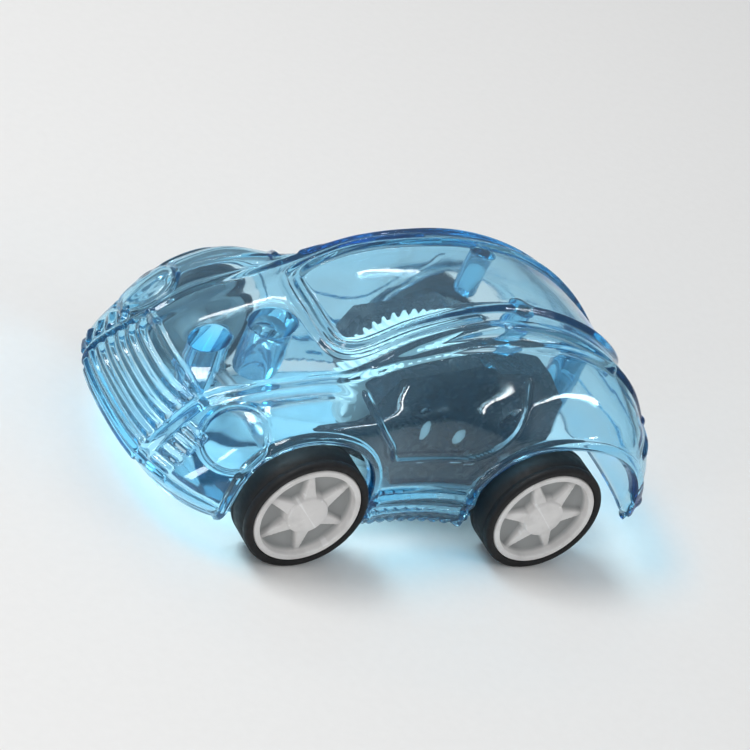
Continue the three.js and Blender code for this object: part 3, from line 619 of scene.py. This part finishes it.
# A tyre's shoulders are rounded by two lengths: down from the tread and in from the side. Its grooves' edges
# are measured from its side.
TYRE_SEGMENTS = 144
TYRE_THICKNESS = 0.85
TYRE_ROUNDING = (0.32, 0.42)
TYRE_SEAT_CHAMFER = 0.12
GROOVE_DEPTH = 0.07
GROOVE_Y = (0.75, 0.82, 0.92, 1.0)


def tyre_profile():
    """Section of a tyre with rounded shoulders and a fine groove near each edge of its tread."""
    inner = WHEEL_RADIUS - TYRE_THICKNESS
    tread = WHEEL_RADIUS - GROOVE_DEPTH
    down, across = TYRE_ROUNDING
    shoulder = WHEEL_RADIUS - down
    half = [(shoulder, 0)]
    half += [(shoulder + down * math.sin(a), across - across * math.cos(a)) for a in np.linspace(0.2, 1.5, 7)]
    half += list(zip((WHEEL_RADIUS, tread, tread, WHEEL_RADIUS), GROOVE_Y))
    other_half = [(r, TYRE_WIDTH - y) for r, y in reversed(half)]
    seat = [(inner + TYRE_SEAT_CHAMFER, TYRE_WIDTH), (inner, TYRE_WIDTH - TYRE_SEAT_CHAMFER)]
    return [(inner, 0)] + half + other_half + seat


def place_wheel(points, end, side):
    """Points of a wheel made at the origin, with its outer face towards +y, put at one corner of the car."""
    facing = 1 if side == "left" else -1
    return points * np.array([facing, facing, 1]) + np.array([AXLE_X[end], facing * WHEEL_INNER_Y, AXLE_Z])


HUB_SEGMENTS = 200
TYRE_GAP = 0.05
HUB_RADIUS = WHEEL_RADIUS - TYRE_THICKNESS - TYRE_GAP
RIM_WIDTH = 0.62
POCKET_DEPTH = 1.25
DOME_RADIUS = 2.3
DOME_EDGE = 0.86
DOME_TOP = 1.1
SPOKE_COUNT = 6
# Spokes have two sizes: at the centre boss and at the rim. Heights are shares of the pocket's depth.
SPOKE_HALF_WIDTH = (0.8, 0.32)
SPOKE_HEIGHT = (0.74, 0.32)
# How far each wheel is turned, in radians, from having a spoke along X.
SPOKES_TURN = {
    ("front", "left"): -0.3,
    ("front", "right"): 0.2,
    ("rear", "left"): 0.05,
    ("rear", "right"): 0.7,
}


def between(ends, share):
    """A value part of the way from the first end to the second."""
    return ends[0] - (ends[0] - ends[1]) * share


def hub_face(radius, angle):
    """Height of the hub's outer face, as a share of its pocket's depth: a rim, spokes and a centre boss.

    The small numbers are the widths over which one height runs into the next.
    """
    rim_inner = HUB_RADIUS - RIM_WIDTH
    rim = smoothstep(rim_inner - 0.22, rim_inner, radius)
    rim *= 1 - 0.12 * smoothstep(HUB_RADIUS - 0.15, HUB_RADIUS, radius)
    dome = DOME_EDGE + (DOME_TOP - DOME_EDGE) * np.sqrt(np.clip(1 - (radius / DOME_RADIUS) ** 2, 0, 1))
    dome *= smoothstep(DOME_RADIUS + 0.2, DOME_RADIUS - 0.2, radius)
    pitch = 2 * np.pi / SPOKE_COUNT
    from_spoke = np.abs((angle + pitch / 2) % pitch - pitch / 2) * radius
    outward = np.clip((radius - DOME_RADIUS) / (rim_inner - DOME_RADIUS), 0, 1)
    half_width = between(SPOKE_HALF_WIDTH, outward**0.7)
    spoke = smoothstep(half_width + 0.14, half_width - 0.14, from_spoke) * between(SPOKE_HEIGHT, outward)
    return np.maximum(np.maximum(rim, dome), spoke)


# The back of the hub: a hollow drum round an inner boss that holds the axle.
DRUM_WALL = 1.0
WEB_THICKNESS = 1.1
INNER_BOSS = {"radius": 1.6, "bore": 0.8, "end": -0.9}


def hub_body():
    """The hub as rings: its outer face as a height map, then its drum, open back and inner boss."""
    radii = np.concatenate([np.linspace(0.05, 1.8, 8), np.linspace(1.95, HUB_RADIUS - 0.04, 66)])
    floor = TYRE_WIDTH - POCKET_DEPTH
    face = [(r, floor + POCKET_DEPTH * hub_face(r, circle(HUB_SEGMENTS))) for r in radii]
    drum, inside, web = HUB_RADIUS, HUB_RADIUS - DRUM_WALL, floor - WEB_THICKNESS
    boss, bore, end = INNER_BOSS["radius"], INNER_BOSS["bore"], INNER_BOSS["end"]
    outside = [(drum, TYRE_WIDTH - 0.22), (drum, 2.4), (drum, 0.1), (drum - 0.1, 0), (inside + 0.2, 0)]
    hollow = [(inside + 0.1, 0.1), (inside, web + 0.1), (inside - 0.2, web), (boss + 0.5, web)]
    hollow += [(boss + 0.3, web - 0.1), (boss + 0.12, end + 0.15), (boss, end)]
    hole = [(bore, end), (bore - 0.03, end + 0.1), (bore - 0.03, TYRE_WIDTH - 1.1)]
    return ring_body(rings_about_y(face + outside + hollow + hole, HUB_SEGMENTS))


def tyre_body():
    """Points and faces of a tyre, whose section closes on itself."""
    profile = tyre_profile()
    points = np.concatenate(rings_about_y(profile, TYRE_SEGMENTS))
    return points, grid_faces(len(profile) + 1, TYRE_SEGMENTS, wrap=True, flip=True) % len(points)


def build_wheels(white, rubber, steel):
    """The hubs and tyres at the four corners, and the two axles."""
    hub_vertices, hub_faces = hub_body()
    tyre_vertices, tyre_faces = tyre_body()
    for (end, side), turn in SPOKES_TURN.items():
        body = f"{end}_wheels"
        spin = np.array(Matrix.Rotation(turn, 3, "Y"))
        hub = mesh_object(f"hub_{end}_{side}", place_wheel(hub_vertices @ spin.T, end, side), hub_faces)
        finish_piece(hub, body, "white_plastic", white, f"wheel_hub_{end}_{side}")
        tyre = mesh_object(f"rubber_tyre_{end}_{side}", place_wheel(tyre_vertices, end, side), tyre_faces)
        finish_piece(tyre, body, "black_rubber", rubber, f"tyre_{end}_{side}")
    for end, x in AXLE_X.items():
        finish_piece(axle_rod(f"axle_rod_{end}", x), f"{end}_wheels", "steel", steel, f"{end}_axle")


# ------------------------------------------------------------------ motor and base, from the CAD shapes
# Small openings in the motor's left cover, where pale plastic shows: (x, z, half width, half height).
MOTOR_WINDOWS = [(-2.6, 10.0, 0.62, 1.2), (-7.0, 9.5, 0.8, 1.0), (-9.8, 6.4, 0.8, 0.55)]
WINDOW_SEGMENTS = 28
COVER_LEFT_Y = box_mm("motor_case_left")[1][1]
COVER_WALL = 0.8
WELD_DISTANCE = 0.002
SHARP_ANGLE = 32
BOSS_DEPTH = 0.2
BOSS_GAP = 0.03


def oval_bar(name, window, high_y, low_y, shrink=0.0):
    """An oval bar along Y, the shape of a window in the motor's left cover."""
    x, z, half_width, half_height = window
    points, faces = ring_body(rings_about_y([(1, high_y), (1, low_y)], WINDOW_SEGMENTS))
    stretch = np.array([half_width - shrink, 1, half_height - shrink])
    return mesh_object(name, points * stretch + np.array([x, 0, z]), faces, smooth=False)


def softened(node, name, body, slot, material, width, segments=2, windows=()):
    """A copy of a CAD node with its sharp edges rounded to a width, after any windows are cut through it."""
    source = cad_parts[node]
    obj = bpy.data.objects.new(name, source.data.copy())
    bpy.context.scene.collection.objects.link(obj)
    weld = obj.modifiers.new("weld", "WELD")
    weld.merge_threshold = WELD_DISTANCE * MM
    for window in windows:
        cutter = oval_bar("window", window, COVER_LEFT_Y + COVER_WALL + 0.2, COVER_LEFT_Y - COVER_WALL - 0.2)
        combine(obj, cutter, "DIFFERENCE")
    bevel = obj.modifiers.new("bevel", "BEVEL")
    bevel.width = width * MM
    bevel.segments = segments
    bevel.limit_method = "ANGLE"
    bevel.angle_limit = math.radians(SHARP_ANGLE)
    bevel.harden_normals = True
    obj.data.polygons.foreach_set("use_smooth", [True] * len(obj.data.polygons))
    return finish_piece(obj, body, slot, material, node)


# CAD node: (name of its piece, body that it rides on).
GEARS = {
    "spring_gear": ("spring_gear_wheel", "spring_drum"),
    "drive_gear": ("drive_gear_wheel", "drive_train"),
    "winding_gear": ("winding_gear_wheel", "floating_gear"),
    "axle_pinion": ("axle_pinion_gear", "rear_wheels"),
}
PINS = {"spring_gear_pin": "chassis", "drive_gear_pin": "chassis", "winding_gear_pin": "floating_pin"}


def build_motor(looks):
    """The motor with its gears, spring and pins, the base plate, and the screws that hold the plate."""
    black, gear, steel = looks["black"], looks["gear"], looks["steel"]
    softened("base_plate", "base_tray", "chassis", "clear_blue_plastic", looks["tray"],
             width=0.25, segments=3)
    for side, windows in (("left", MOTOR_WINDOWS), ("right", ())):
        softened(f"motor_case_{side}", f"motor_cover_{side}", "chassis", "black_plastic", black,
                 width=0.3, segments=3, windows=windows)
    softened("mainspring", "spiral_spring", "chassis", "spring_steel", looks["spring"],
             width=0.03, segments=1)
    for node, (name, body) in GEARS.items():
        softened(node, name, body, "gear_plastic", gear, width=0.05)
    for number, window in enumerate(MOTOR_WINDOWS):
        high_y, low_y = COVER_LEFT_Y - BOSS_DEPTH, COVER_LEFT_Y - COVER_WALL + 0.05
        boss = oval_bar(f"frame_boss_{number}", window, high_y, low_y, BOSS_GAP)
        finish_piece(boss, "chassis", "gear_plastic", gear)
    for node in BASE_SCREWS:
        softened(node, f"{node}_head", "chassis", "steel", steel, width=0.08)
    for node, body in PINS.items():
        finish_piece(pin_rod(node), body, "steel", steel, node)


# ------------------------------------------------------------------ materials
def new_material(name):
    """A material whose node tree holds only its output."""
    material = bpy.data.materials.new(name)
    material.use_nodes = True
    tree = material.node_tree
    tree.nodes.clear()
    return material, tree, tree.nodes.new("ShaderNodeOutputMaterial")


def feed(tree, socket, value):
    """Links an input to another node's output, or sets it to a value. A colour is given as three numbers."""
    if isinstance(value, bpy.types.NodeSocket):
        tree.links.new(value, socket)
    elif socket.type == "RGBA":
        socket.default_value = (*value, 1)
    else:
        socket.default_value = value


def add(tree, kind, **values):
    """A node of this kind, with its properties and inputs set by name."""
    node = tree.nodes.new(kind)
    for key, value in values.items():
        if hasattr(node, key) and key not in node.inputs:
            setattr(node, key, value)
        else:
            feed(tree, node.inputs[key.replace("_", " ")], value)
    return node


def object_coordinates(tree):
    return add(tree, "ShaderNodeTexCoord").outputs["Object"]


def noise(tree, scale, detail=3.0, roughness=0.55, vector=None):
    """Noise whose scale is in features per metre, unless a vector says where it is read."""
    where = vector or object_coordinates(tree)
    node = add(tree, "ShaderNodeTexNoise", Vector=where, Scale=scale, Detail=detail, Roughness=roughness)
    return node.outputs["Fac"]


def remap(tree, value, low, high, to_low, to_high):
    """A value stretched from one range to another, and held within it."""
    node = add(tree, "ShaderNodeMapRange", Value=value, From_Min=low, From_Max=high,
               To_Min=to_low, To_Max=to_high)
    return node.outputs["Result"]


def mixed_colour(tree, share, a, b):
    """Colour a where the share is 0, and colour b where it is 1."""
    node = tree.nodes.new("ShaderNodeMix")
    node.data_type = "RGBA"
    tree.links.new(share, node.inputs["Factor"])
    feed(tree, node.inputs[6], a)
    feed(tree, node.inputs[7], b)
    return node.outputs[2]


def mixed_shader(tree, share, a, b):
    """Shader a where the share is 0, and shader b where it is 1."""
    node = tree.nodes.new("ShaderNodeMixShader")
    tree.links.new(share, node.inputs["Fac"])
    tree.links.new(a.outputs[0], node.inputs[1])
    tree.links.new(b.outputs[0], node.inputs[2])
    return node


def bumped(tree, height, strength, distance_mm, normal=None):
    """A normal that is tilted by a height pattern, on top of another normal where one is given."""
    node = add(tree, "ShaderNodeBump", Height=height, Strength=strength, Distance=distance_mm * MM)
    if normal is not None:
        tree.links.new(normal, node.inputs["Normal"])
    return node.outputs["Normal"]


def principled(tree, output, **values):
    """Plastic, rubber or metal whose inputs are set by name, joined to the material's output."""
    shader = add(tree, "ShaderNodeBsdfPrincipled", **values)
    tree.links.new(shader.outputs[0], output.inputs["Surface"])
    return shader


SURFACE_TINTS = ((0.86, 0.96, 0.99), (0.90, 0.975, 1.0))
MILK_COLOUR = (0.10, 0.44, 0.78)
SHADOW_TINT = (0.89, 0.965, 0.985)
DEPTH_TINT = (0.10, 0.775, 0.985)
SHADOW_DENSITY = 0.6


def clear_blue(name, density):
    """Clear tinted plastic: a tint that deepens with depth, faint flow ripples, scuffs and handling haze.

    Light that the plastic shades is let straight through, tinted and at a lower density.
    """
    material, tree, output = new_material(name)
    ripple = noise(tree, 130, 2)
    haze = noise(tree, 700, 5)
    scuffs = noise(tree, 2600, 4)
    rough = remap(tree, haze, 0.35, 0.75, 0.015, 0.07)
    normal = bumped(tree, ripple, 0.05, 0.6)
    normal = bumped(tree, scuffs, 0.04, 0.05, normal)
    tint = mixed_colour(tree, haze, *SURFACE_TINTS)
    shader = principled(tree, output, Base_Color=tint, Roughness=rough, IOR=1.52, Normal=normal,
                        Transmission_Weight=1.0)
    milk = add(tree, "ShaderNodeBsdfDiffuse", Color=MILK_COLOUR)
    milky = mixed_shader(tree, remap(tree, haze, 0.3, 0.7, 0.02, 0.04), shader, milk)
    in_shadow = add(tree, "ShaderNodeLightPath").outputs["Is Shadow Ray"]
    through = add(tree, "ShaderNodeBsdfTransparent", Color=SHADOW_TINT)
    look = mixed_shader(tree, in_shadow, milky, through)
    tree.links.new(look.outputs[0], output.inputs["Surface"])
    weaker = remap(tree, in_shadow, 0, 1, density, SHADOW_DENSITY * density)
    depth = add(tree, "ShaderNodeVolumeAbsorption", Color=DEPTH_TINT, Density=weaker)
    tree.links.new(depth.outputs[0], output.inputs["Volume"])
    return material


SCATTER = 0.8


def moulded(name, dark, light, rough, speck=900, bump_strength=0.25, subsurface=0.0, grime=None):
    """Moulded plastic: two close tones, fine texture, worn edges, and uneven dirt where grime is given."""
    material, tree, output = new_material(name)
    patches = noise(tree, 160, 3)
    fine = noise(tree, speck, 6)
    colour = mixed_colour(tree, remap(tree, patches, 0.3, 0.7, 0, 1), dark, light)
    edges = add(tree, "ShaderNodeNewGeometry").outputs["Pointiness"]
    worn = remap(tree, edges, 0.52, 0.62, 0, 0.5)
    colour = mixed_colour(tree, worn, colour, tuple(min(1, c * 1.25 + 0.03) for c in light))
    if grime:
        dirt = remap(tree, noise(tree, 420, 5), 0.5, 0.72, 0, 0.55)
        colour = mixed_colour(tree, dirt, colour, grime)
    roughness = remap(tree, fine, 0.3, 0.7, rough - 0.07, rough + 0.09)
    principled(tree, output, Base_Color=colour, Roughness=roughness, IOR=1.5,
               Normal=bumped(tree, fine, bump_strength, 0.05),
               Subsurface_Weight=subsurface, Subsurface_Radius=(SCATTER * MM, SCATTER * MM, SCATTER * MM))
    return material


# Painted shade: the grey given to the hub's recessed pocket floors.
POCKET_SHADE_GREY = (0.36, 0.37, 0.37)


def hub_white():
    """White milky plastic, with painted shade: greyer on the hub's thin web, where it lies back from its
    face.
    """
    material = moulded("white_plastic", (0.70, 0.685, 0.675), (0.82, 0.805, 0.79), 0.50, 1000, 0.18, 0.12,
                       (0.56, 0.54, 0.53))
    tree = material.node_tree
    shader = next(node for node in tree.nodes if node.type == "BSDF_PRINCIPLED")
    across = add(tree, "ShaderNodeSeparateXYZ", Vector=object_coordinates(tree)).outputs["Y"]
    distance = add(tree, "ShaderNodeMath", operation="ABSOLUTE")
    tree.links.new(across, distance.inputs[0])
    floor = WHEEL_INNER_Y + TYRE_WIDTH - POCKET_DEPTH
    # Painted shade: the web turns grey at the pockets' floor, where shade falls between the spokes.
    web = remap(tree, distance.outputs[0], (floor + 0.05) * MM, (floor + 0.6) * MM, 1, 0)
    base = shader.inputs["Base Color"].links[0].from_socket
    tree.links.new(mixed_colour(tree, web, base, POCKET_SHADE_GREY), shader.inputs["Base Color"])
    return material


def rubber():
    """Black rubber with a fine grain and uneven pale dust."""
    material, tree, output = new_material("black_rubber")
    grain = noise(tree, 1500, 6)
    dust = remap(tree, noise(tree, 260, 5), 0.48, 0.75, 0, 0.35)
    colour = mixed_colour(tree, dust, (0.006, 0.006, 0.007), (0.024, 0.022, 0.022))
    principled(tree, output, Base_Color=colour, Roughness=remap(tree, grain, 0.3, 0.7, 0.50, 0.70),
               Normal=bumped(tree, grain, 0.35, 0.06), IOR=1.38)
    return material


def drawn_steel(name, dark, light, rough):
    """Drawn metal: fine streaks along the piece's length, and uneven shine."""
    material, tree, output = new_material(name)
    stretch = add(tree, "ShaderNodeMapping", Vector=object_coordinates(tree), Scale=(1, 0.04, 1))
    streak = noise(tree, 3800, 3, 0.6, stretch.outputs[0])
    colour = mixed_colour(tree, remap(tree, streak, 0.3, 0.7, 0, 1), dark, light)
    principled(tree, output, Base_Color=colour, Metallic=1.0, Normal=bumped(tree, streak, 0.2, 0.03),
               Roughness=remap(tree, noise(tree, 500, 3), 0.3, 0.7, rough - 0.08, rough + 0.1))
    return material


def paper_floor():
    """Pale matt paper under the car."""
    material, tree, output = new_material("pale_floor")
    grain = noise(tree, 900, 5)
    colour = mixed_colour(tree, grain, (0.80, 0.79, 0.775), (0.84, 0.83, 0.815))
    principled(tree, output, Base_Color=colour, Roughness=0.75, Normal=bumped(tree, grain, 0.05, 0.05))
    return material


# ------------------------------------------------------------------ stage
# The photograph's viewpoint, from a camera fitted to the wheels: degrees and millimetres.
VIEW_AZIMUTH = 140.4
VIEW_ELEVATION = 30.7
VIEW_ROLL = 25.3
VIEW_DISTANCE = 339
VIEW_AIM = (0.3, 0.0, 11.4)
LENS = 158


def build_camera():
    """The photograph's viewing direction and distance, with a longer lens so that the car fills the frame."""
    azimuth, elevation, roll = (math.radians(a) for a in (VIEW_AZIMUTH, VIEW_ELEVATION, VIEW_ROLL))
    level = math.cos(elevation)
    back = Vector((math.sin(azimuth) * level, -math.cos(azimuth) * level, math.sin(elevation)))
    right = Vector((math.cos(azimuth), math.sin(azimuth), 0))
    up = back.cross(right)
    rolled_right = right * math.cos(roll) + up * math.sin(roll)
    rolled_up = back.cross(rolled_right)
    data = bpy.data.cameras.new("camera")
    data.lens = LENS
    data.clip_start = 0.01
    camera = bpy.data.objects.new("camera", data)
    rotation = Matrix((rolled_right, rolled_up, back)).transposed().to_4x4()
    camera.matrix_world = Matrix.Translation((Vector(VIEW_AIM) + back * VIEW_DISTANCE) * MM) @ rotation
    bpy.context.scene.collection.objects.link(camera)
    bpy.context.scene.camera = camera


def area_light(name, distance, azimuth, elevation, size, power):
    """A panel of light that faces the car, at an azimuth from +X and an elevation, in degrees."""
    turn, tilt = math.radians(azimuth), math.radians(elevation)
    away = Vector((math.cos(turn) * math.cos(tilt), math.sin(turn) * math.cos(tilt), math.sin(tilt)))
    data = bpy.data.lights.new(name, "AREA")
    data.shape = "RECTANGLE"
    data.size, data.size_y = size[0] * MM, size[1] * MM
    data.energy = power
    light = bpy.data.objects.new(name, data)
    light.location = (Vector(VIEW_AIM) + away * distance) * MM
    light.rotation_euler = (-away).to_track_quat("-Z", "Y").to_euler()
    bpy.context.scene.collection.objects.link(light)


# The sky's strength rises between two heights of the view's direction (0 at the horizon, 1 overhead).
SKY_COLOUR = (0.94, 0.97, 1.0)
SKY_FROM_TO = (0.1, 0.85)
SKY_STRENGTH = (0.24, 0.58)


def soft_sky():
    """A pale world that is dimmer towards the horizon, so that the car's sides stay clear."""
    world = bpy.data.worlds.new("soft_studio")
    world.use_nodes = True
    tree = world.node_tree
    background = tree.nodes["Background"]
    feed(tree, background.inputs["Color"], SKY_COLOUR)
    direction = add(tree, "ShaderNodeTexCoord").outputs["Generated"]
    upward = add(tree, "ShaderNodeSeparateXYZ", Vector=direction).outputs["Z"]
    feed(tree, background.inputs["Strength"], remap(tree, upward, *SKY_FROM_TO, *SKY_STRENGTH))
    bpy.context.scene.world = world


FLOOR_HALF_SIZE = 1500
# Name: (distance, azimuth, elevation, (width, height), power in watts).
LIGHTS = {
    "key_softbox": (500, -29, 56, (220, 135), 1.35),
    "far_strip": (500, -100, 42, (190, 8), 0.07),
    "side_strip": (480, 118, 17, (52, 9), 0.035),
    "quarter_strip": (480, 139, 31, (280, 12), 0.25),
    "front_strip": (400, 30, 15, (60, 150), 0.25),
}


def build_stage():
    """The floor, the lights and the sky, and how far light is followed through the clear plastic."""
    half = FLOOR_HALF_SIZE
    corners = [(-half, -half, 0), (half, -half, 0), (half, half, 0), (-half, half, 0)]
    floor = mesh_object("floor", corners, [(0, 1, 2, 3)])
    floor.data.materials.append(paper_floor())
    for name, panel in LIGHTS.items():
        area_light(name, *panel)
    soft_sky()
    scene = bpy.context.scene
    scene.view_settings.view_transform = "Standard"
    scene.cycles.transparent_max_bounces = 24
    scene.cycles.max_bounces = 20
    scene.cycles.transmission_bounces = 18


# ------------------------------------------------------------------ the car
SHELL_DENSITY = 280
TRAY_DENSITY = 90


def build_car():
    """Every piece of the car, with its material and its body."""
    looks = {
        "blue": clear_blue("clear_blue_plastic", SHELL_DENSITY),
        "tray": clear_blue("clear_blue_tray", TRAY_DENSITY),
        "black": moulded("black_plastic", (0.006, 0.007, 0.009), (0.012, 0.013, 0.016), 0.24, 1300, 0.08),
        "white": hub_white(),
        "gear": moulded("gear_plastic", (0.72, 0.75, 0.73), (0.83, 0.85, 0.82), 0.42, 1200, 0.15, 0.1),
        "rubber": rubber(),
        "steel": drawn_steel("steel", (0.42, 0.43, 0.45), (0.72, 0.73, 0.75), 0.3),
        "spring": drawn_steel("spring_steel", (0.10, 0.12, 0.17), (0.30, 0.33, 0.40), 0.34),
    }
    shell = mesh_object("clear_body", *build_shell())
    for number, tube in enumerate(hanging_tubes()):
        combine(shell, mesh_object(f"tube_{number}", *tube), "UNION")
    finish_piece(shell, "chassis", "clear_blue_plastic", looks["blue"], "body_shell")
    build_wheels(looks["white"], looks["rubber"], looks["steel"])
    build_motor(looks)


build_car()
build_camera()
build_stage()
bpy.context.view_layer.update()
